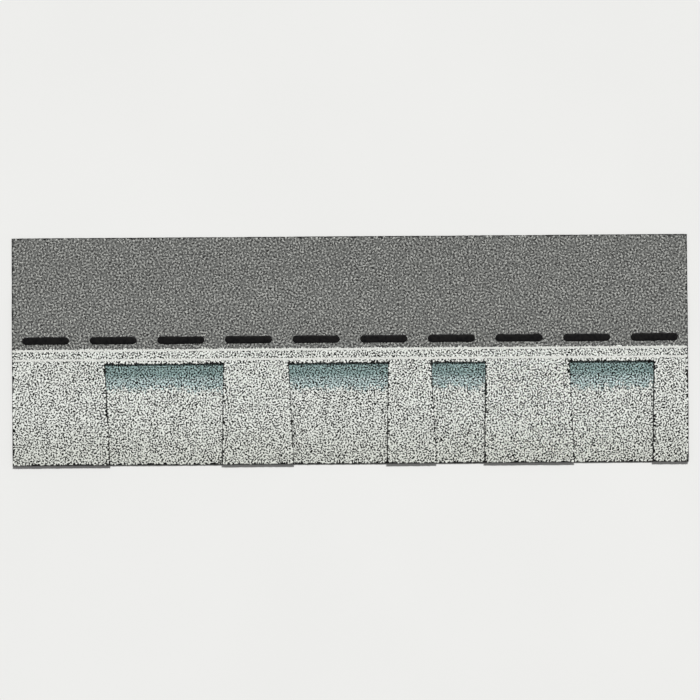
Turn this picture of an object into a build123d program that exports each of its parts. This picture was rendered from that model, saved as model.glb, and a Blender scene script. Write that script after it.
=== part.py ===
from build123d import *
import math
import os

# One laminated asphalt roof shingle, lying face up on its back. Millimetres.
# +X runs along the shingle, +Y up the roof slope and +Z out of the weather face.
# The origin is under the middle of the shingle, on the surface that it lies on.
# Heights on the shingle are counted up from its butt edge, the edge that shows on a roof.

# The sheet
shingle_length = 1000
exposure = 143  # height of each course that stays in the weather
headlap = 51  # how far a course reaches under the next but one
shingle_height = 2 * exposure + headlap

# The two plies and the asphalt that bonds them
tooth_ply_thickness = 2.6
backer_thickness = 2.4
adhesive_thickness = 0.4

# Teeth and slots of the front ply, as wide as they are where the next course covers them.
# They run from the left end, and the last tooth takes the rest of the length.
tooth_widths = (138, 98, 65, 125)
slot_widths = (174, 146, 79, 124)
narrowest_end_tooth = 20
left_flare = 2.5  # how far a tooth's left edge leans out on its way down to the butt edge
right_flare = 6.5
slot_cover = 6  # how far the slots run on under the next course
common_bond = 28  # the band above the slots where both plies are whole

# Beads of laminating asphalt, pressed flat
bead_width = 10
lowest_lane = 20
lane_pitch = 45
bead_end_gap = 8  # from a bead's end to the edge of its tooth

# Self-seal strip on the face, in dashes
seal_setback = 42  # above the next course's butt edge
dash_width = 12
dash_length = 70
dash_gap = 30
dash_height = 1
dash_rounding = 0.6
dash_end_gap = 8

# Release film in the back, where a shingle turned end for end in a bundle meets the dashes
film_width = 26
film_thickness = 0.1

# The front ply bends down past the backer and lies on the surface below
flat_past_dashes = 6
drape_length = 90

# Places that follow from the sizes
slot_depth = exposure + slot_cover
backer_height = slot_depth + common_bond
seal_line = exposure + seal_setback
film_line = shingle_height - seal_line
drape_start = seal_line + dash_width / 2 + flat_past_dashes
tooth_ply_base = backer_thickness + adhesive_thickness
face_height = tooth_ply_base + tooth_ply_thickness
left_end = -shingle_length / 2
right_end = shingle_length / 2


def up_from_butt(height):
    """The Y of a height on the shingle."""
    return height - shingle_height / 2


def slot_edges():
    """The left and right X of each slot at the height of the exposure."""
    edges = []
    reached = left_end
    for tooth_width, slot_width in zip(tooth_widths, slot_widths):
        slot_left = reached + tooth_width
        slot_right = slot_left + slot_width
        if slot_right + narrowest_end_tooth > right_end:
            break
        edges.append((slot_left, slot_right))
        reached = slot_right
    return edges


def leaned_left(x, height):
    """A tooth's left edge at a height, from its X at the height of the exposure."""
    return x - left_flare * (1 - height / exposure)


def leaned_right(x, height):
    """A tooth's right edge at a height, from its X at the height of the exposure."""
    return x + right_flare * (1 - height / exposure)


def teeth_at(height):
    """The left and right X of every tooth at a height below the top of the slots."""
    reached = left_end
    teeth = []
    for slot_left, slot_right in slot_edges():
        teeth.append((reached, leaned_right(slot_left, height)))
        reached = leaned_left(slot_right, height)
    teeth.append((reached, right_end))
    return teeth


def slot_outline(slot_left, slot_right):
    """One slot in plan, open past the butt edge."""
    low = -slot_cover
    corners = [
        (leaned_right(slot_left, low), up_from_butt(low)),
        (leaned_left(slot_right, low), up_from_butt(low)),
        (leaned_left(slot_right, slot_depth), up_from_butt(slot_depth)),
        (leaned_right(slot_left, slot_depth), up_from_butt(slot_depth)),
    ]
    return make_face(Polyline(*corners, close=True))


def draped_section():
    """The front ply seen from its end: level over the backer, then down in two equal arcs."""
    bend = 2 * math.atan(tooth_ply_base / drape_length)
    bend_radius = drape_length / (2 * math.sin(bend))
    level = Line(
        (up_from_butt(0), tooth_ply_base), (up_from_butt(drape_start), tooth_ply_base)
    )
    over = JernArc(level @ 1, level % 1, bend_radius, -math.degrees(bend))
    under = JernArc(over @ 1, over % 1, bend_radius, math.degrees(bend))
    resting = Line(under @ 1, (up_from_butt(shingle_height), 0))
    back = level + over + under + resting
    face = Pos(0, tooth_ply_thickness) * back
    butt_edge = Line(level @ 0, (level @ 0) + (0, tooth_ply_thickness))
    top_edge = Line(resting @ 1, (resting @ 1) + (0, tooth_ply_thickness))
    return make_face(back.edges() + face.edges() + butt_edge.edges() + top_edge.edges())


def make_tooth_ply():
    """The front ply: a whole headlap above, and teeth with open slots below."""
    sheet = extrude(Plane.YZ * draped_section(), shingle_length / 2, both=True)
    for slot_left, slot_right in slot_edges():
        outline = slot_outline(slot_left, slot_right)
        sheet -= extrude(outline, 2 * face_height)
    return sheet


def make_release_film():
    """A clear strip flush with the back."""
    strip = Box(
        shingle_length,
        film_width,
        film_thickness,
        align=(Align.CENTER, Align.CENTER, Align.MIN),
    )
    return Pos(0, up_from_butt(film_line), 0) * strip


def make_backer_ply():
    """The whole strip behind the teeth, with a bed for the film in its back."""
    strip = Box(
        shingle_length,
        backer_height,
        backer_thickness,
        align=(Align.CENTER, Align.MIN, Align.MIN),
    )
    return Pos(0, up_from_butt(0), 0) * strip - make_release_film()


def make_bead(left, right, height):
    """One flattened bead of laminating asphalt between the plies."""
    outline = SlotOverall(right - left, bead_width)
    middle = Pos((left + right) / 2, up_from_butt(height), backer_thickness)
    return middle * extrude(outline, adhesive_thickness)


def make_laminating_adhesive():
    """Lanes of beads under each tooth, and one whole bead along the common bond."""
    beads = []
    lane = lowest_lane
    while lane + bead_width / 2 + bead_end_gap < slot_depth:
        for left, right in teeth_at(lane):
            beads.append(make_bead(left + bead_end_gap, right - bead_end_gap, lane))
        lane += lane_pitch
    bond_middle = slot_depth + common_bond / 2
    beads.append(
        make_bead(left_end + bead_end_gap, right_end - bead_end_gap, bond_middle)
    )
    return Part() + beads


def make_sealant_dashes():
    """The self-seal strip: a row of low rounded dashes, evenly spaced and centred."""
    dash = extrude(SlotOverall(dash_length, dash_width), dash_height)
    dash = fillet(dash.faces().sort_by(Axis.Z)[-1].edges(), dash_rounding)
    pitch = dash_length + dash_gap
    room = shingle_length - 2 * dash_end_gap
    count = int((room + dash_gap) // pitch)
    row = Pos(0, up_from_butt(seal_line), face_height)
    return Part() + [row * place * dash for place in GridLocations(pitch, 0, count, 1)]


os.makedirs("parts", exist_ok=True)
export_step(make_tooth_ply(), "parts/tooth_ply.step")
export_step(make_backer_ply(), "parts/backer_ply.step")
export_step(make_laminating_adhesive(), "parts/laminating_adhesive.step")
export_step(make_sealant_dashes(), "parts/sealant_dashes.step")
export_step(make_release_film(), "parts/release_film.step")
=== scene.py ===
# One laminated asphalt shingle on a pale floor, seen from straight above.
# Metres, in the frame of the CAD model: +X along the shingle, +Y up the roof slope, +Z out of the face.
import math

import bpy
import numpy as np
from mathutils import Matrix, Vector
from mathutils.geometry import delaunay_2d_cdt


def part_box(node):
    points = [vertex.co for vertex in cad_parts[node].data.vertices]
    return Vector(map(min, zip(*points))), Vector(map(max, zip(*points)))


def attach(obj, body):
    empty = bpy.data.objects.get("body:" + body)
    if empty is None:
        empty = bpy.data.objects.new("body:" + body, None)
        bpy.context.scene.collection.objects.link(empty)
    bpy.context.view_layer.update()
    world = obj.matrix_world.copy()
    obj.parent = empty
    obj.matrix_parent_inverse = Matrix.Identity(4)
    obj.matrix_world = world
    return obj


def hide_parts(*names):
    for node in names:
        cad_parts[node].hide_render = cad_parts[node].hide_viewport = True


MM = 0.001

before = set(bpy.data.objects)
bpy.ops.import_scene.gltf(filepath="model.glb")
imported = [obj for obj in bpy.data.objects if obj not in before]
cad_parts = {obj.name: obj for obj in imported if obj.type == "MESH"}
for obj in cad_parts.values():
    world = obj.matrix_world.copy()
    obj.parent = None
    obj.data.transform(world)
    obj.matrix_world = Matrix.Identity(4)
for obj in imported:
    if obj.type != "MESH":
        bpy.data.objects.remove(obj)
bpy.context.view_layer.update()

# Places on the CAD model
SAME_ROW = 0.02 * MM  # corners nearer to a row than this lie in it
DECIMALS = 5  # places are told apart to a hundredth of a millimetre

# Granules
FACE_SPACING = 1.6 * MM
HEADLAP_SPACING = 1.9 * MM
SHAKE = 0.35  # how far granules are off a regular pattern, as a share of their spacing
LEAST_APART = 0.85  # the distance that they are then pushed apart to, as the same share
LEAST_MEASURED = 0.01 * MM  # nearer ones count as this far apart
PUSHES = 10
EVEN_REACH = 1.9  # how far a blend is evened out, as a share of the spacing
EVEN_PASSES = 2
GRANULE_RADIUS = 1.0  # as a share of the spacing
GRANULE_SIZES = (0.8, 1.24)  # from the smallest to the largest, as shares of that radius
GRANULE_REACH = 2  # from its middle to the side of its square on the map, in radii
CORNER_SHAKE = 0.13  # how far its corners are off the usual chip's, in radii
GRANULE_RISE = 0.42 * MM  # from the asphalt to the top of a middling granule
RIDGE_RISES = (0.72, 1.12)  # the rise of a ridge's ends, as shares of that
GRANULE_SINK = 0.1 * MM
EDGE_BARE = (1.42 * MM, 2.65 * MM)  # least distances from a cut to a granule's middle

# The backer's granules run on under the front ply this far from the rim and from a slot
UNDER_FROM_RIM = 5 * MM
UNDER_FROM_SLOT = 2.5 * MM

# Heights above the butt edge
HEADLAP_START = 172 * MM
NAIL_LINES = (156 * MM, 170 * MM)
NAIL_LINE_WIDTH = 3 * MM
NAIL_LINE_FADE = (0.42, 0.58)  # the paint thins out between these shares of its width
NAIL_LINE_RAGGED = 1.6 * MM
SHADE_START = 106 * MM  # no shade granules below this
SHADE_WHOLE = 119 * MM  # nothing else above this
SHADE_DARK = (123 * MM, 135.5 * MM)  # the shade granules darken between these
BEIGE_START = 85 * MM  # beige dust thickens from here down to the butt edge

# Where one colour of granules gives way to another, the line is a sum of waves along the shingle
SHADE_WAVES = (190 * MM, 83 * MM, 41 * MM, 23 * MM, 13 * MM)
SHADE_WAVE_HEIGHT = 1.1 * MM
HEADLAP_WAVES = (61 * MM, 29 * MM, 13 * MM, 7 * MM, 4 * MM)
HEADLAP_WAVE_HEIGHT = 0.45 * MM

# Sheets
EDGE_STEP = 1.5 * MM
INNER_STEP = 8 * MM
RIM_GAP = 1.5 * EDGE_STEP  # from a cut to the nearest inner points
SAME_POINT = 1e-7  # points nearer than this are joined
TRIANGLES_WITHIN = 1  # the kind of result that ends at the rim
EDGE_WANDER = 0.45 * MM
EDGE_BULGE = 0.7 * EDGE_WANDER  # the most that an edge swells out between its face and its back
WALL_RINGS = 5
LIP = 0.2 * MM  # how far a cut edge's top is rounded over
FILM_BED_SLOPE = 0.15 * MM  # how far the sides of the release film's bed run out

# An uneven edge has short waves on long ones
SHORT_WAVES = 0.9
LONG_WAVES = 0.5
LONG_WAVE_REACH = 25  # how many random values are smoothed to one of a long wave

# Where a sheet's parts lie on its map: the face and the back, then the walls in rows
MAP_HEIGHT = 0.42
BACK_UP = 0.43
WALLS_UP = 0.86
WALL_ROWS = 5
ROW_PITCH = 0.028
ROW_HEIGHT = 0.022

# Sealant
SEALANT_STEP = 1.5 * MM
SEALANT_AROUND = 18
SEALANT_SUNK = 0.45 * MM  # how deep a dash reaches down among the granules
SEALANT_WANDER = 0.3 * MM  # how far a dash's sides lie inside the CAD dash's
SEALANT_UNEVEN = 0.7  # how far that varies along the dash, as a share of it
SEALANT_SWAY = 0.6  # how far the middle line sways, as the same share
SEALANT_LEAST_HALF = 0.3 * MM  # half of the least width
SEALANT_FLANK = 0.7  # powers below 1 make its dome fuller than a round one
SEALANT_CROWN = 0.6
SEALANT_CREST = 0.94  # the usual height, as a share of the CAD dash's
SEALANT_LUMPS = 0.09  # how far the height varies, as the same share
LUMP_TURN = 6  # the most that the lumps are turned round a dash, in radians
FOOT = 0.01  # where the dome is lower than this share, it is the foot
END_TURN = 0.14  # how far round its end a dash's last ring lies, in radians
END_RINGS = 9
BUNCH_GAP = 0.4  # a gap that parts two bunches of corners, as a share of a dash's width

# Stage
FLOOR_SIZE = 60
FLOOR_DROP = 0.2 * MM  # keeps the floor and the back out of one plane

# Light
KEY_STRENGTH = 3.46
KEY_WIDTH = 7  # how wide the key light is in the sky, in degrees
KEY_FROM = (0.22, 1.0, 1.1)  # the direction that the key light comes from
WORLD_LIGHT = 0.23  # the surround's strength as light
WORLD_SEEN = 0.8  # its strength as the camera and reflections see it

# Camera
CAMERA_HEIGHT = 2.88
CAMERA_ROLL = -0.4  # degrees, as the courses of the roof lie a little askew in the picture
CAMERA_LENS = 100  # millimetres, as the sensor's width is
CAMERA_SENSOR = 36
CAMERA_REACH = 100

# Seeds of the random draws
PLY_SEED = 11
BACKER_SEED = 12
TOOTH_SEED = 21
HEADLAP_SEED = 22
SLOT_SEED = 23
HEADLAP_LINE_SEED = 24
SEALANT_SEED = 70


# Sizes read from the frame

def corner_points(node):
    """A CAD node's vertices as rows of X, Y, Z."""
    return np.array([vertex.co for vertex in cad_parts[node].data.vertices])


def row_of(points, column, value):
    """The points whose coordinate in that column is the value."""
    return points[np.abs(points[:, column] - value) < SAME_ROW]


def distinct(values):
    """The different ones among some places, in order."""
    return np.unique(np.round(values, DECIMALS))


ply_points = corner_points("tooth_ply")
ply_low, ply_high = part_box("tooth_ply")
backer_low, backer_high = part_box("backer_ply")
film_low, film_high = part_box("release_film")

LEFT, RIGHT = ply_low.x, ply_high.x
BUTT, TOP = ply_low.y, ply_high.y
FACE = ply_high.z
BACKER_TOP = backer_high.y
SLOT_TOP = distinct(ply_points[:, 1])[1]
PLY_THICKNESS = row_of(ply_points, 1, TOP)[:, 2].max()
DROP = FACE - PLY_THICKNESS
DRAPE_START = row_of(ply_points, 2, FACE)[:, 1].max()
DRAPE_END = row_of(ply_points, 2, 0)[:, 1].min()


def edges_along(y):
    """The X of each of the front ply's corners along a row."""
    return distinct(row_of(ply_points, 1, y)[:, 0])


SLOTS_AT_TOP = edges_along(SLOT_TOP).reshape(-1, 2)
SLOTS_AT_BUTT = edges_along(BUTT)[1:-1].reshape(-1, 2)


def drape(y):
    """How far the front ply has come down at a place up the slope: two equal bends."""
    along = np.clip((y - DRAPE_START) / (DRAPE_END - DRAPE_START), 0, 1)
    share = np.where(along < 0.5, 2 * along**2, 1 - 2 * (1 - along) ** 2)
    return DROP * share


def slot_clearance(x, y):
    """The distance from the nearest slot, negative inside one."""
    share = np.clip((y - BUTT) / (SLOT_TOP - BUTT), 0, 1)
    above = y - SLOT_TOP
    nearest = np.full(np.shape(x), np.inf)
    for at_top, at_butt in zip(SLOTS_AT_TOP, SLOTS_AT_BUTT):
        left, right = (low + (high - low) * share for low, high in zip(at_butt, at_top))
        beside = np.maximum(left - x, x - right)
        outside = np.hypot(np.maximum(beside, 0), np.maximum(above, 0))
        clearance = np.where(outside > 0, outside, np.maximum(beside, above))
        nearest = np.minimum(nearest, clearance)
    return nearest


def rim_clearance(x, y, top):
    """The distance inside the shingle's ends, its butt edge and a ply's top edge."""
    return np.minimum.reduce([x - LEFT, RIGHT - x, y - BUTT, top - y])


def face_clearance(x, y):
    """The distance from the front ply's nearest cut."""
    return np.minimum(rim_clearance(x, y, TOP), slot_clearance(x, y))


def ply_asphalt(y):
    """The level of the front ply's asphalt, under its granules."""
    return FACE - GRANULE_RISE - drape(y)


def ply_back(y):
    """The level of the front ply's back."""
    return DROP - drape(y)


def backer_asphalt(y):
    """The level of the backer's asphalt, under its granules."""
    return np.full(np.shape(y), backer_high.z - GRANULE_RISE)


def backer_back(y):
    """The level of the backer's back, with a bed for the release film."""
    half = 0.5 * FILM_BED_SLOPE
    in_bed = (y > film_low.y - half) & (y < film_high.y + half)
    return np.where(in_bed, film_high.z, 0.0)


# Meshes

def new_object(name, vertices, triangles, materials=(), smooth=False):
    """A mesh object from arrays of points and of corner indices, three to a face."""
    mesh = bpy.data.meshes.new(name)
    mesh.vertices.add(len(vertices))
    mesh.vertices.foreach_set("co", np.ascontiguousarray(vertices, np.float32).ravel())
    mesh.loops.add(3 * len(triangles))
    mesh.loops.foreach_set("vertex_index", np.ascontiguousarray(triangles, np.int32).ravel())
    mesh.polygons.add(len(triangles))
    mesh.polygons.foreach_set("loop_start", np.arange(0, 3 * len(triangles), 3, dtype=np.int32))
    mesh.polygons.foreach_set("use_smooth", np.full(len(triangles), smooth))
    mesh.update(calc_edges=True)
    for material in materials:
        mesh.materials.append(material)
    piece = bpy.data.objects.new(name, mesh)
    bpy.context.scene.collection.objects.link(piece)
    return piece


def set_map(piece, across, up):
    """The piece's map for baking, from a pair of values for every corner of every face."""
    layer = piece.data.uv_layers.new(name="OFBake")
    corners = np.stack([np.ravel(across), np.ravel(up)], axis=-1).astype(np.float32)
    layer.data.foreach_set("uv", corners.ravel())


def finish_piece(piece, slot, *nodes):
    """Ties a piece to the frame and hides the CAD nodes that it replaces. The slot is not used."""
    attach(piece, "root")
    if nodes:
        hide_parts(*nodes)


def wander(rng, count):
    """A closed run of random values, mostly between -1 and 1: short waves on long ones."""
    rough = rng.normal(0, 1, count)
    short = (rough + np.roll(rough, 1) + np.roll(rough, -1)) / 3
    evenly = np.ones(LONG_WAVE_REACH) / math.sqrt(LONG_WAVE_REACH)
    closed = np.concatenate([rough, rough[: LONG_WAVE_REACH - 1]])
    return SHORT_WAVES * short + LONG_WAVES * np.convolve(closed, evenly, "valid")


def uneven(rng, count, most):
    """A closed run of distances, from nothing to the most."""
    return most * 0.5 * (1 + np.tanh(wander(rng, count)))


# A granule is a chip of crushed rock: four base corners, sunk in the asphalt, and a two-ended ridge.
# Its corners are in radii.
GRANULE_CORNERS = np.array(
    [(-0.82, -0.62), (0.82, -0.62), (0.82, 0.62), (-0.82, 0.62), (-0.38, 0.0), (0.38, 0.0)]
)
BASE_CORNERS = 4
GRANULE_FACES = np.array([(0, 1, 5), (0, 5, 4), (1, 2, 5), (2, 3, 4), (2, 4, 5), (3, 0, 4)])

# A place of a grid and those up to two steps away, in rows and columns
NEIGHBOURS = [(up, across) for up in range(-2, 3) for across in range(-2, 3)]


def push_apart(x, y, least):
    """Moves the places of a grid until neighbours are nearly that far apart, each by half the way."""
    push_x, push_y = np.zeros(x.shape), np.zeros(x.shape)
    for step in NEIGHBOURS:
        away_x, away_y = x - np.roll(x, step, (0, 1)), y - np.roll(y, step, (0, 1))
        distance = np.maximum(np.hypot(away_x, away_y), LEAST_MEASURED)
        share = 0.5 * np.maximum(least / distance - 1, 0)
        push_x += share * away_x
        push_y += share * away_y
    return x + push_x, y + push_y


def scatter(low, high, spacing, rng):
    """A grid of places about a spacing apart over a box, shaken out of their rows but even."""
    row_step = spacing * math.sqrt(3) / 2
    across = int((high[0] - low[0]) / spacing) + 1
    rows = int((high[1] - low[1]) / row_step) + 1
    column, row = np.meshgrid(np.arange(across), np.arange(rows))
    shake = rng.normal(0, SHAKE * spacing, (2,) + column.shape)
    x = low[0] + (column + 0.5 * (row % 2)) * spacing + shake[0]
    y = low[1] + row * row_step + shake[1]
    for _ in range(PUSHES):
        x, y = push_apart(x, y, LEAST_APART * spacing)
    return x, y


def even_tones(x, y, spacing, rng):
    """A random value for each place of a grid, evened out among its neighbours as a blend is."""
    tone = rng.normal(0, 1, x.shape)
    near = []
    for step in NEIGHBOURS:
        away = np.hypot(x - np.roll(x, step, (0, 1)), y - np.roll(y, step, (0, 1)))
        near.append(away < EVEN_REACH * spacing)
    for _ in range(EVEN_PASSES):
        total = sum(own * np.roll(tone, step, (0, 1)) for own, step in zip(near, NEIGHBOURS))
        tone = tone - total / sum(near)
    return tone


def ranks(values):
    """Each value's place in their order, from 0 to 1."""
    return np.argsort(np.argsort(values)) / len(values)


def granule_points(x, y, radius, surface, rng):
    """The corners of a crushed granule at each of the given places."""
    count = len(x)
    size = radius * rng.uniform(*GRANULE_SIZES, (count, 1, 1))
    off = rng.normal(0, CORNER_SHAKE, (count,) + GRANULE_CORNERS.shape)
    shape = size * (GRANULE_CORNERS + off)
    along, beside = shape[:, :, 0], shape[:, :, 1]
    turn = rng.uniform(0, 2 * math.pi, (count, 1))
    height = np.full(along.shape, -GRANULE_SINK)
    ridge = height[:, BASE_CORNERS:]
    ridge[:] = GRANULE_RISE * rng.uniform(*RIDGE_RISES, ridge.shape)
    points = np.empty((count, len(GRANULE_CORNERS), 3))
    points[:, :, 0] = x[:, None] + along * np.cos(turn) - beside * np.sin(turn)
    points[:, :, 1] = y[:, None] + along * np.sin(turn) + beside * np.cos(turn)
    points[:, :, 2] = surface(y)[:, None] + height
    points[:, :, :2] = np.clip(points[:, :, :2], (LEFT, BUTT), (RIGHT, TOP))
    return points


def granule_mesh(name, x, y, tone, radius, surface, material, rng):
    """Crushed granules at the given places, each with a tone of its own."""
    points = granule_points(x, y, radius, surface, rng)
    first = np.arange(len(x)) * len(GRANULE_CORNERS)
    faces = (first[:, None, None] + GRANULE_FACES).reshape(-1, 3)
    piece = new_object(name, points.reshape(-1, 3), faces, [material])
    attribute = piece.data.attributes.new("tone", "FLOAT", "FACE")
    attribute.data.foreach_set("value", np.repeat(tone, len(GRANULE_FACES)).astype(np.float32))
    map_granules(piece, points, y, tone, GRANULE_REACH * radius)
    return piece


def map_granules(piece, points, y, tone, reach):
    """Gives each granule a square of the map, drawn from above, beside others like it.

    The columns of squares go by tone, and the squares of a column by height up the slope.
    """
    count = len(y)
    squares = math.ceil(math.sqrt(count))
    column = np.empty(count, int)
    column[np.argsort(tone, kind="stable")] = np.arange(count) // squares
    order = np.lexsort((y, column))
    row = np.empty(count, int)
    row[order] = np.arange(count) - column[order] * squares
    middle = points.mean(axis=1)[:, None, :2]
    flat = points[:, GRANULE_FACES.ravel(), :2] - middle
    share = np.clip(flat / (2 * reach), -0.5, 0.5) + 0.5
    across = (column[:, None] + share[:, :, 0]) / squares
    up = (row[:, None] + share[:, :, 1]) / squares
    set_map(piece, across, up)


# Materials

def linear(value):
    """A picture's grey level from 0 to 255 as the light that it stands for, by the sRGB curve."""
    share = value / 255
    return share / 12.92 if share <= 0.04045 else ((share + 0.055) / 1.055) ** 2.4


def colour(red, green, blue):
    """A picture's colour, 0 to 255 each, for a shader."""
    return (linear(red), linear(green), linear(blue), 1)


def grey(level):
    """A plain grey factor, 0 to 1, for a shader."""
    return (level, level, level, 1)


class Nodes:
    """A material's node tree, with short ways to add to it."""

    def __init__(self, name, roughness, **settings):
        self.material = bpy.data.materials.new(name)
        self.material.use_nodes = True
        self.tree = self.material.node_tree
        self.shader = self.tree.nodes["Principled BSDF"]
        self.set(self.shader, Roughness=roughness, **settings)

    def set(self, node, **values):
        """Sets a node's inputs by their names, with underscores for spaces."""
        for name, value in values.items():
            node.inputs[name.replace("_", " ")].default_value = value

    def add(self, kind, **settings):
        """A new node with its settings."""
        node = self.tree.nodes.new("ShaderNode" + kind)
        for name, value in settings.items():
            setattr(node, name, value)
        return node

    def link(self, source, target):
        self.tree.links.new(source, target)

    def position(self):
        """The place on the object, in the frame's metres."""
        return self.add("TexCoord").outputs["Object"]

    def noise(self, scale, detail=2.0, roughness=0.5, stretch=None):
        """A noise pattern, with so many features to the metre."""
        node = self.add("TexNoise")
        self.set(node, Scale=scale, Detail=detail, Roughness=roughness)
        place = self.position()
        if stretch:
            mapping = self.add("Mapping")
            mapping.inputs["Scale"].default_value = stretch
            self.link(place, mapping.inputs["Vector"])
            place = mapping.outputs["Vector"]
        self.link(place, node.inputs["Vector"])
        return node.outputs["Fac"]

    def math(self, operation, first, second=None):
        """The result of an operation on one or two values, each a socket or a number."""
        node = self.add("Math", operation=operation)
        for socket, value in zip(node.inputs, (first, second)):
            if isinstance(value, (int, float)):
                socket.default_value = value
            elif value is not None:
                self.link(value, socket)
        return node.outputs["Value"]

    def ramp(self, factor, stops):
        """A colour ramp from pairs of place and colour."""
        node = self.add("ValToRGB")
        elements = node.color_ramp.elements
        while len(elements) < len(stops):
            elements.new(0.5)
        for element, (place, value) in zip(elements, stops):
            element.position = place
            element.color = value
        self.link(factor, node.inputs["Fac"])
        return node.outputs["Color"]

    def mix(self, factor, first, second, blend="MIX"):
        """Two colours mixed by a factor. Each of the three is a socket or a value."""
        node = self.add("Mix", data_type="RGBA", blend_type=blend)
        sockets = [socket for socket in node.inputs if socket.enabled]
        for socket, value in zip(sockets, (factor, first, second)):
            if isinstance(value, bpy.types.NodeSocket):
                self.link(value, socket)
            else:
                socket.default_value = value
        return next(socket for socket in node.outputs if socket.enabled)

    def fade(self, value, start, end):
        """0 before the start and 1 past the end, smooth between."""
        node = self.add("MapRange", interpolation_type="SMOOTHSTEP")
        self.set(node, From_Min=start, From_Max=end)
        self.link(value, node.inputs["Value"])
        return node.outputs["Result"]

    def height(self):
        """The height above the butt edge."""
        split = self.add("SeparateXYZ")
        self.link(self.position(), split.inputs["Vector"])
        return self.math("SUBTRACT", split.outputs["Y"], BUTT)

    def paint(self, value):
        """Gives the surface its colour."""
        self.link(value, self.shader.inputs["Base Color"])

    def bump(self, height, distance, strength):
        """Gives the surface relief, which a height of 1 raises by the distance."""
        node = self.add("Bump")
        self.set(node, Distance=distance, Strength=strength)
        self.link(height, node.inputs["Height"])
        self.link(node.outputs["Normal"], self.shader.inputs["Normal"])


# The blends: each granule colour's share, its size beside the others, its darkest and lightest tint
LIGHT_BLEND = {
    "black": (0.28, 1.3, colour(6, 7, 6), colour(26, 28, 25)),
    "grey": (0.10, 1.0, colour(110, 112, 109), colour(206, 209, 203)),
    "pale": (0.31, 1.0, colour(220, 223, 217), colour(242, 245, 239)),
    "white": (0.31, 1.05, colour(242, 245, 239), colour(252, 254, 249)),
}
HEADLAP_BLEND = {
    "black": (0.22, 1.0, colour(42, 42, 42), colour(80, 80, 79)),
    "grey": (0.44, 1.0, colour(90, 91, 89), colour(126, 127, 124)),
    "pale": (0.34, 1.0, colour(128, 129, 126), colour(190, 191, 186)),
}
SHADE_DARK_TINTS = (colour(84, 104, 103), colour(185, 211, 208))
SHADE_PALE_TINTS = (colour(110, 129, 129), colour(236, 254, 252))
BEIGE = (0.875, 0.875, 0.852, 1)
NAIL_PAINT = colour(226, 227, 222)


def granule_nodes(name):
    """The start of a granule's material: ceramic-coated rock, and each granule's tone."""
    nodes = Nodes(name, roughness=0.8, Specular_IOR_Level=0.1)
    return nodes, nodes.add("Attribute", attribute_name="tone").outputs["Fac"]


def finish_granules(nodes, shade, height):
    """Beige dust towards the butt edge, nail lines and mineral specks over a granule's own tint."""
    clean = nodes.fade(height, 0, BEIGE_START)
    shade = nodes.mix(nodes.math("SUBTRACT", 1.0, clean), shade, BEIGE, "MULTIPLY")
    ragged = nodes.math("MULTIPLY", nodes.noise(scale=700), NAIL_LINE_RAGGED)
    place = nodes.math("ADD", height, ragged)
    for line in NAIL_LINES:
        middle = line + 0.5 * NAIL_LINE_RAGGED
        away = nodes.math("ABSOLUTE", nodes.math("SUBTRACT", place, middle))
        bare = nodes.fade(away, *(share * NAIL_LINE_WIDTH for share in NAIL_LINE_FADE))
        shade = nodes.mix(bare, NAIL_PAINT, shade)
    grain = nodes.noise(scale=1900, detail=3)
    speck = nodes.ramp(grain, ((0.3, grey(0.92)), (0.7, grey(1.0))))
    nodes.paint(nodes.mix(1.0, shade, speck, "MULTIPLY"))
    nodes.bump(grain, distance=0.12 * MM, strength=0.6)
    return nodes.material


def granule_material(name, darkest, lightest):
    """One colour of granule, from its darkest to its lightest tint."""
    nodes, tone = granule_nodes(name)
    return finish_granules(nodes, nodes.mix(tone, darkest, lightest), nodes.height())


def shade_material():
    """The blue-grey granules of the shade band, darker towards its top."""
    nodes, tone = granule_nodes("shade_granules")
    height = nodes.height()
    dark = nodes.mix(tone, *SHADE_DARK_TINTS)
    pale = nodes.mix(tone, *SHADE_PALE_TINTS)
    return finish_granules(nodes, nodes.mix(nodes.fade(height, *SHADE_DARK), pale, dark), height)


def asphalt_material(name, roughness):
    """Black coating asphalt, slightly lumpy."""
    nodes = Nodes(name, roughness=roughness, Specular_IOR_Level=0.15)
    lumps = nodes.noise(scale=420, detail=4)
    nodes.paint(nodes.ramp(lumps, ((0.3, colour(8, 8, 8)), (0.75, colour(26, 25, 24)))))
    nodes.bump(lumps, distance=0.4 * MM, strength=0.7)
    return nodes.material


def cut_edge_material():
    """A cut edge: black asphalt, torn in places, with specks of the glass mat."""
    nodes = Nodes("cut_edge", roughness=0.6, Specular_IOR_Level=0.3)
    tears = nodes.noise(scale=900, detail=5, roughness=0.65)
    fibres = nodes.noise(scale=500, stretch=(0.25, 0.25, 3.0))
    black = nodes.ramp(tears, ((0.35, colour(12, 12, 12)), (0.8, colour(54, 52, 50))))
    mat = nodes.ramp(fibres, ((0.62, grey(0.0)), (0.72, grey(0.5))))
    nodes.paint(nodes.mix(mat, black, colour(128, 122, 110)))
    nodes.bump(tears, distance=0.3 * MM, strength=0.9)
    return nodes.material


def dusted_back_material():
    """The back: asphalt dusted with fine sand, pressed in by the rollers."""
    nodes = Nodes("dusted_back", roughness=0.88, Specular_IOR_Level=0.3)
    dust = nodes.noise(scale=2600, roughness=0.7)
    patches = nodes.noise(scale=35, detail=4, stretch=(0.35, 1.0, 1.0))
    sand = nodes.ramp(
        dust,
        (
            (0.34, colour(28, 28, 28)),
            (0.48, colour(66, 65, 63)),
            (0.60, colour(98, 96, 92)),
            (0.74, colour(156, 152, 144)),
        ),
    )
    worn = nodes.ramp(patches, ((0.3, grey(0.62)), (0.7, grey(1.0))))
    nodes.paint(nodes.mix(1.0, sand, worn, "MULTIPLY"))
    nodes.bump(dust, distance=0.25 * MM, strength=0.7)
    return nodes.material


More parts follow.
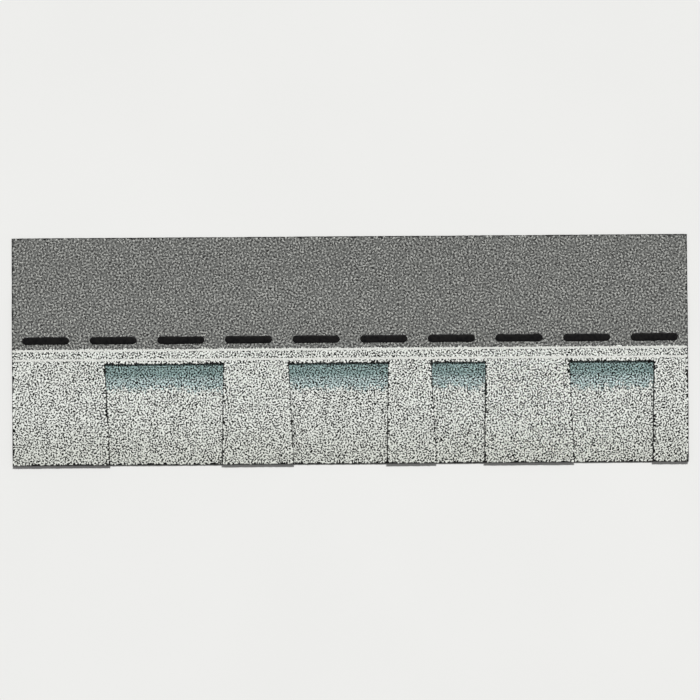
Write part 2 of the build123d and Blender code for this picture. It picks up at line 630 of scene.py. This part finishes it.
def sealant_material():
    """Black adhesive with a few dull smears."""
    glossy = 0.32
    nodes = Nodes("sealant", roughness=glossy, Specular_IOR_Level=0.08)
    smears = nodes.noise(scale=260, detail=3)
    nodes.paint(nodes.ramp(smears, ((0.35, colour(7, 7, 8)), (0.8, colour(24, 23, 22)))))
    duller = nodes.math("MULTIPLY", nodes.fade(smears, 0.4, 0.62), 0.35)
    nodes.link(nodes.math("ADD", duller, glossy), nodes.shader.inputs["Roughness"])
    nodes.bump(smears, distance=0.8 * MM, strength=0.6)
    return nodes.material


def film_material():
    """Thin clear plastic, a little wrinkled."""
    nodes = Nodes("release_film", roughness=0.16, Alpha=0.4)
    wrinkles = nodes.noise(scale=120, detail=3, stretch=(0.3, 1.6, 1.0))
    nodes.paint(nodes.ramp(wrinkles, ((0.3, colour(176, 182, 186)), (0.7, colour(222, 226, 228)))))
    nodes.bump(wrinkles, distance=0.4 * MM, strength=0.6)
    return nodes.material


def floor_material():
    """Pale, matte and plain."""
    nodes = Nodes("floor", roughness=0.9, Specular_IOR_Level=0.1)
    stains = nodes.noise(scale=3, detail=3)
    nodes.paint(nodes.ramp(stains, ((0.3, colour(233, 233, 231)), (0.7, colour(235, 235, 233)))))
    return nodes.material


# Sheets with cut edges

def ply_corners():
    """The front ply's outline, anticlockwise from the lower left."""
    corners = [(LEFT, BUTT)]
    for at_top, at_butt in zip(SLOTS_AT_TOP, SLOTS_AT_BUTT):
        corners += [(at_butt[0], BUTT), (at_top[0], SLOT_TOP)]
        corners += [(at_top[1], SLOT_TOP), (at_butt[1], BUTT)]
    return corners + [(RIGHT, BUTT), (RIGHT, TOP), (LEFT, TOP)]


def backer_corners():
    """The backer's outline, anticlockwise from the lower left."""
    return [(LEFT, BUTT), (RIGHT, BUTT), (RIGHT, BACKER_TOP), (LEFT, BACKER_TOP)]


def walk(corners):
    """Points along a closed outline, about an edge step apart, with the outward normals."""
    points, normals = [], []
    for start, end in zip(corners, corners[1:] + corners[:1]):
        start, end = Vector(start), Vector(end)
        length = (end - start).length
        normal = Vector(((end - start).y, (start - end).x)) / length
        steps = max(1, round(length / EDGE_STEP))
        for step in range(steps):
            points.append(start.lerp(end, step / steps))
            normals.append(normal)
    return np.array(points), np.array(normals)


def drawn_in(outline, normals, inset):
    """The outline moved in by a distance at each point, and nowhere past the butt edge."""
    return np.maximum(outline - normals * inset[:, None], (LEFT, BUTT))


def fill(rim, inside, extra_rows):
    """The points and triangles of a flat area within a rim. The rim's points come first."""
    xs = np.arange(LEFT + 0.5 * INNER_STEP, RIGHT, INNER_STEP)
    ys = np.concatenate([np.arange(BUTT + 0.5 * INNER_STEP, TOP, INNER_STEP), extra_rows])
    grid_x, grid_y = (side.ravel() for side in np.meshgrid(xs, ys))
    kept = inside(grid_x, grid_y) > RIM_GAP
    flat = np.vstack([rim, np.column_stack([grid_x[kept], grid_y[kept]])])
    places = [Vector(point) for point in flat]
    ring = list(range(len(rim)))
    edges = list(zip(ring, ring[1:] + ring[:1]))
    points, _, triangles, *_ = delaunay_2d_cdt(places, edges, [], TRIANGLES_WITHIN, SAME_POINT)
    return np.array([tuple(point) for point in points]), np.array(triangles)


def map_sheet(piece, face_points, count):
    """Lays out a sheet's map: its face from above, its back, and its walls unrolled."""
    across = (face_points[:, :, 0] - LEFT) / (RIGHT - LEFT)
    up = MAP_HEIGHT * (face_points[:, :, 1] - BUTT) / (TOP - BUTT)
    in_row = math.ceil(count / WALL_ROWS)
    step = np.arange(count)
    row = step // in_row
    start, end = (step - row * in_row) / in_row, (step + 1 - row * in_row) / in_row
    wall_across, wall_up = [], []
    for ring in range(WALL_RINGS):
        upper = WALLS_UP + ROW_PITCH * row + ROW_HEIGHT * (1 - ring / WALL_RINGS)
        lower = upper - ROW_HEIGHT / WALL_RINGS
        wall_across += [np.column_stack([start, start, end]), np.column_stack([start, end, end])]
        wall_up += [np.column_stack([upper, lower, lower]), np.column_stack([upper, lower, upper])]
    back_across, back_up = across[:, ::-1], up[:, ::-1] + BACK_UP
    set_map(
        piece,
        np.vstack([across] + wall_across + [back_across]),
        np.vstack([up] + wall_up + [back_up]),
    )


def wall_faces(total, count):
    """Triangles down a sheet's walls: from its face's rim, over the rings, to its back's rim.

    The points of the face come first, then as many of the back, and then the rings.
    """
    around = np.arange(count)
    rings = [2 * total + level * count + around for level in range(WALL_RINGS - 1)]
    loops = [around] + rings + [total + around]
    walls = []
    for upper, lower in zip(loops, loops[1:]):
        after_upper, after_lower = np.roll(upper, -1), np.roll(lower, -1)
        walls.append(np.column_stack([upper, lower, after_lower]))
        walls.append(np.column_stack([upper, after_lower, after_upper]))
    return walls


def make_sheet(name, corners, inside, top_z, bottom_z, extra_rows, materials, seed):
    """A flat solid sheet with cut, slightly ragged edges. Materials: face, cut edge, back."""
    rng = np.random.default_rng(seed)
    outline, normals = walk(corners)
    count = len(outline)
    inset = uneven(rng, count, EDGE_WANDER)
    flat, triangles = fill(drawn_in(outline, normals, inset), inside, extra_rows)
    total = len(flat)
    face = np.column_stack([flat, top_z(flat[:, 1])])
    back = np.column_stack([flat, bottom_z(flat[:, 1])])
    face[:count, 2] -= LIP
    rings = []
    for level in range(1, WALL_RINGS):
        share = level / WALL_RINGS
        bulge = uneven(rng, count, EDGE_BULGE) * math.sin(math.pi * share)
        side = drawn_in(outline, normals, np.maximum(inset - bulge, 0))
        height = face[:count, 2] * (1 - share) + back[:count, 2] * share
        rings.append(np.column_stack([side, height]))
    faces = np.vstack([triangles] + wall_faces(total, count) + [triangles[:, ::-1] + total])
    piece =new_object(name, np.vstack([face, back] + rings), faces, materials)
    kinds = np.repeat([0, 1, 2], [len(triangles), 2 * WALL_RINGS * count, len(triangles)])
    piece.data.polygons.foreach_set("material_index", kinds.astype(np.int32))
    map_sheet(piece, flat[triangles], count)
    return piece


def make_plies():
    """The two sheets of asphalt-coated mat, each replacing its CAD solid."""
    materials = [asphalt_material("asphalt", 0.5), cut_edge_material(), dusted_back_material()]
    ply = make_sheet(
        "tooth_ply_sheet",
        ply_corners(),
        face_clearance,
        ply_asphalt,
        ply_back,
        [],
        materials,
        PLY_SEED,
    )
    finish_piece(ply, "tooth_granules", "tooth_ply")
    below, above = film_low.y - FILM_BED_SLOPE, film_high.y + FILM_BED_SLOPE
    backer = make_sheet(
        "backer_sheet",
        backer_corners(),
        lambda x, y: rim_clearance(x, y, BACKER_TOP),
        backer_asphalt,
        backer_back,
        [below, film_low.y, film_high.y, above],
        materials,
        BACKER_SEED,
    )
    finish_piece(backer, "backer_granules", "backer_ply")


# The granules of each area

class Granules:
    """The granules of one area: where they lie, and each one's tone."""

    def __init__(self, area, slot, low, high, spacing, surface, clearance, seed):
        """The box from low to high is filled, apart from what is too close to a cut."""
        self.area, self.slot, self.spacing, self.surface = area, slot, spacing, surface
        self.rng = np.random.default_rng(seed)
        x, y = scatter(low, high, spacing, self.rng)
        evened = even_tones(x, y, spacing, self.rng)
        kept = clearance(x, y) > self.rng.uniform(*EDGE_BARE, x.shape)
        self.x, self.y = x[kept], y[kept]
        self.tone = ranks(evened[kept])

    def make(self, name, chosen, start, share, size, material):
        """One piece of the chosen granules, whose tones start there and span that share."""
        piece = granule_mesh(
            f"{self.area}_granules_{name}",
            self.x[chosen],
            self.y[chosen],
            (self.tone[chosen] - start) / share,
            size * GRANULE_RADIUS * self.spacing,
            self.surface,
            material,
            self.rng,
        )
        finish_piece(piece, self.slot)

    def make_blend(self, blend, materials, chosen=True):
        """A piece for each colour of the blend, of the chosen granules."""
        start = 0.0
        for name, (share, size, *_) in blend.items():
            own = chosen & (self.tone >= start) & (self.tone < start + share)
            self.make(name, own, start, share, size, materials[name])
            start += share


def blend_materials(prefix, blend):
    """A material for each colour of a blend."""
    materials = {}
    for name, (_, _, *tints) in blend.items():
        materials[name] = granule_material(f"{prefix}_{name}", *tints)
    return materials


def backer_clearance(x, y):
    """The distance from the backer's nearest cut, and less than nothing where it is covered."""
    clearance = rim_clearance(x, y, BACKER_TOP)
    covered = (clearance > UNDER_FROM_RIM) & (slot_clearance(x, y) > UNDER_FROM_SLOT)
    return np.where(covered, -1, clearance)


def waves(x, lengths, height, rng):
    """How far a wavy line is off its usual place, along the shingle."""
    return height * sum(np.cos(2 * math.pi * (x / length + rng.uniform())) for length in lengths)


def headlap_start(x):
    """The Y from which the headlap has its own granules."""
    rng = np.random.default_rng(HEADLAP_LINE_SEED)
    return BUTT + HEADLAP_START + waves(x, HEADLAP_WAVES, HEADLAP_WAVE_HEIGHT, rng)


def tooth_clearance(x, y):
    """The distance from the front ply's nearest cut, and less than nothing on the headlap."""
    return np.where(y < headlap_start(x), face_clearance(x, y), -1)


def headlap_clearance(x, y):
    """The distance from the front ply's nearest cut, and less than nothing below the headlap."""
    return np.where(y < headlap_start(x), -1, face_clearance(x, y))


def make_granules():
    """Granules on the teeth and the headlap, and in the slots with a shade band across."""
    light = blend_materials("granules", LIGHT_BLEND)
    dark = blend_materials("headlap", HEADLAP_BLEND)
    reach = len(HEADLAP_WAVES) * HEADLAP_WAVE_HEIGHT
    below, above = BUTT + HEADLAP_START - reach, BUTT + HEADLAP_START + reach
    tooth = Granules(
        "tooth",
        "tooth_granules",
        (LEFT, BUTT),
        (RIGHT, above),
        FACE_SPACING,
        ply_asphalt,
        tooth_clearance,
        TOOTH_SEED,
    )
    tooth.make_blend(LIGHT_BLEND, light)
    headlap = Granules(
        "headlap",
        "tooth_granules",
        (LEFT, below),
        (RIGHT, TOP),
        HEADLAP_SPACING,
        ply_asphalt,
        headlap_clearance,
        HEADLAP_SEED,
    )
    headlap.make_blend(HEADLAP_BLEND, dark)
    slots = Granules(
        "slot",
        "backer_granules",
        (LEFT, BUTT),
        (RIGHT, BACKER_TOP),
        FACE_SPACING,
        backer_asphalt,
        backer_clearance,
        SLOT_SEED,
    )
    height = slots.y - BUTT + waves(slots.x, SHADE_WAVES, SHADE_WAVE_HEIGHT, slots.rng)
    black = LIGHT_BLEND["black"][0]
    in_band = slots.rng.uniform(SHADE_START, SHADE_WHOLE, len(height)) < height
    shade = in_band & (slots.tone >= black)
    slots.make_blend(LIGHT_BLEND, light, ~shade)
    slots.make("shade", shade, black, 1 - black, 1.0, shade_material())


# Sealant

def dash_spans():
    """The X of each dash's two ends.

    A dash's corners lie in its round ends, so the corners come in pairs of bunches.
    """
    x = distinct(corner_points("sealant_dashes")[:, 0])
    low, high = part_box("sealant_dashes")
    gaps = np.flatnonzero(np.diff(x) > BUNCH_GAP * (high.y - low.y))
    bunches = np.split(x, gaps + 1)
    return [(left.min(), right.max()) for left, right in zip(bunches[::2], bunches[1::2])]


def dash_stations(length, radius):
    """Places along a dash and how wide it is there: a round end, a straight run, a round end."""
    turns = np.linspace(END_TURN, 0.5 * math.pi, END_RINGS)
    cap, wide = radius * (1 - np.cos(turns)), np.sin(turns)
    steps = round((length - 2 * radius) / SEALANT_STEP)
    run = np.linspace(radius, length - radius, steps + 1)[1:-1]
    along = np.concatenate([cap, run, length - cap[::-1]])
    return along, np.concatenate([wide, np.ones(len(run)), wide[::-1]])


def dash_rings(left, right, low, high, rng):
    """One dash as closed rings across it, each a low dome whose foot lies among the granules."""
    radius, rise = 0.5 * (high.y - low.y), high.z - FACE
    along, wide = dash_stations(right - left, radius)
    count = len(along)
    angle = 2 * math.pi * np.arange(SEALANT_AROUND) / SEALANT_AROUND
    side = np.sign(np.cos(angle)) * np.abs(np.cos(angle)) ** SEALANT_FLANK
    dome = np.maximum(np.sin(angle), 0) ** SEALANT_CROWN
    narrower = SEALANT_WANDER * (1 + SEALANT_UNEVEN * wander(rng, count))
    half = np.maximum(wide * radius - narrower, SEALANT_LEAST_HALF)
    shift = SEALANT_WANDER * SEALANT_SWAY * wander(rng, count)
    swell = SEALANT_LUMPS * wander(rng, count)[:, None]
    lumps = SEALANT_CREST + swell * np.cos(angle + rng.uniform(0, LUMP_TURN))
    top = np.minimum(rise * np.sqrt(wide)[:, None] * dome * lumps, rise)
    rings = np.empty((count, SEALANT_AROUND, 3))
    rings[:, :, 0] = (left + along)[:, None]
    rings[:, :, 1] = 0.5 * (low.y + high.y) + shift[:, None] + half[:, None] * side
    rings[:, :, 2] = np.where(dome > FOOT, FACE + top, FACE - SEALANT_SUNK)
    return rings


def ring_faces(count, around):
    """Triangles over a run of rings, and a fan over each end, whose middles come last."""
    grid = np.meshgrid(np.arange(count - 1), np.arange(around))
    station, corner = (part.ravel() for part in grid)
    a, b = station * around + corner, station * around + (corner + 1) % around
    sides = [np.column_stack([a, a + around, b + around]), np.column_stack([a, b + around, b])]
    first = np.arange(around)
    after = (first + 1) % around
    last = (count - 1) * around
    hub = np.full(around, count * around)
    start = np.column_stack([hub, first, after])
    end = np.column_stack([hub + 1, last + after, last + first])
    return np.vstack(sides + [start, end])


def make_sealant():
    """The self-seal strip: low domes of black adhesive, laid by a wheel, a little uneven."""
    rng = np.random.default_rng(SEALANT_SEED)
    low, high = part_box("sealant_dashes")
    spans = dash_spans()
    points, faces, across, up = [], [], [], []
    first = 0
    for number, (left, right) in enumerate(spans):
        rings = dash_rings(left, right, low, high, rng)
        own_faces = ring_faces(len(rings), SEALANT_AROUND)
        own_points = np.vstack([rings.reshape(-1, 3), rings[[0, -1]].mean(axis=1)])
        corners = own_points[own_faces]
        underside = np.all(corners[:, :, 2] < FACE, axis=1)[:, None]
        across.append((corners[:, :, 0] - left) / (right - left))
        share = (corners[:, :, 1] - low.y) / (high.y - low.y)
        up.append((number + 0.5 * share + 0.5 * underside) / len(spans))
        points.append(own_points)
        faces.append(own_faces + first)
        first += len(own_points)
    strip = new_object(
        "sealant_strip", np.vstack(points), np.vstack(faces), [sealant_material()], smooth=True
    )
    set_map(strip, np.vstack(across), np.vstack(up))
    finish_piece(strip, "sealant", "sealant_dashes")


def dress(node, material):
    """Gives a CAD node whose shape is right its material."""
    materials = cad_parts[node].data.materials
    materials.clear()
    materials.append(material)


# Stage, light and camera

def make_stage():
    """A plain pale floor."""
    bpy.ops.mesh.primitive_plane_add(size=FLOOR_SIZE, location=(0, 0, -FLOOR_DROP))
    floor = bpy.context.object
    floor.name = "floor"
    floor.data.materials.append(floor_material())


def make_lights():
    """A soft key light from up the slope, and an even pale surround."""
    lamp = bpy.data.lights.new("key", "SUN")
    lamp.energy = KEY_STRENGTH
    lamp.angle = math.radians(KEY_WIDTH)
    key = bpy.data.objects.new("key", lamp)
    key.rotation_euler = Vector(KEY_FROM).to_track_quat("Z", "Y").to_euler()
    bpy.context.scene.collection.objects.link(key)
    world = bpy.data.worlds.new("surround")
    world.use_nodes = True
    tree = world.node_tree
    background = tree.nodes["Background"]
    background.inputs["Color"].default_value = (1, 1, 1, 1)
    rays = tree.nodes.new("ShaderNodeLightPath")
    shown = rays.outputs["Is Camera Ray"]
    for kind in ("Is Glossy Ray", "Is Transmission Ray"):
        either = tree.nodes.new("ShaderNodeMath")
        either.operation = "MAXIMUM"
        tree.links.new(shown, either.inputs[0])
        tree.links.new(rays.outputs[kind], either.inputs[1])
        shown = either.outputs["Value"]
    strength = tree.nodes.new("ShaderNodeMapRange")
    strength.inputs["To Min"].default_value = WORLD_LIGHT
    strength.inputs["To Max"].default_value = WORLD_SEEN
    tree.links.new(shown, strength.inputs["Value"])
    tree.links.new(strength.outputs["Result"], background.inputs["Strength"])
    bpy.context.scene.world = world


def make_camera():
    """Straight above, with a long lens, up the picture being up the slope."""
    camera = bpy.data.cameras.new("camera")
    camera.lens = CAMERA_LENS
    camera.sensor_width = CAMERA_SENSOR
    camera.clip_end = CAMERA_REACH
    view = bpy.data.objects.new("camera", camera)
    view.location = (0, 0, CAMERA_HEIGHT)
    view.rotation_euler = (0, 0, math.radians(CAMERA_ROLL))
    bpy.context.scene.collection.objects.link(view)
    bpy.context.scene.camera = view


bpy.context.scene.view_settings.view_transform = "Standard"
make_camera()
make_plies()
make_granules()
make_sealant()
dress("release_film", film_material())
dress("laminating_adhesive", asphalt_material("bond", 0.4))
make_stage()
make_lights()
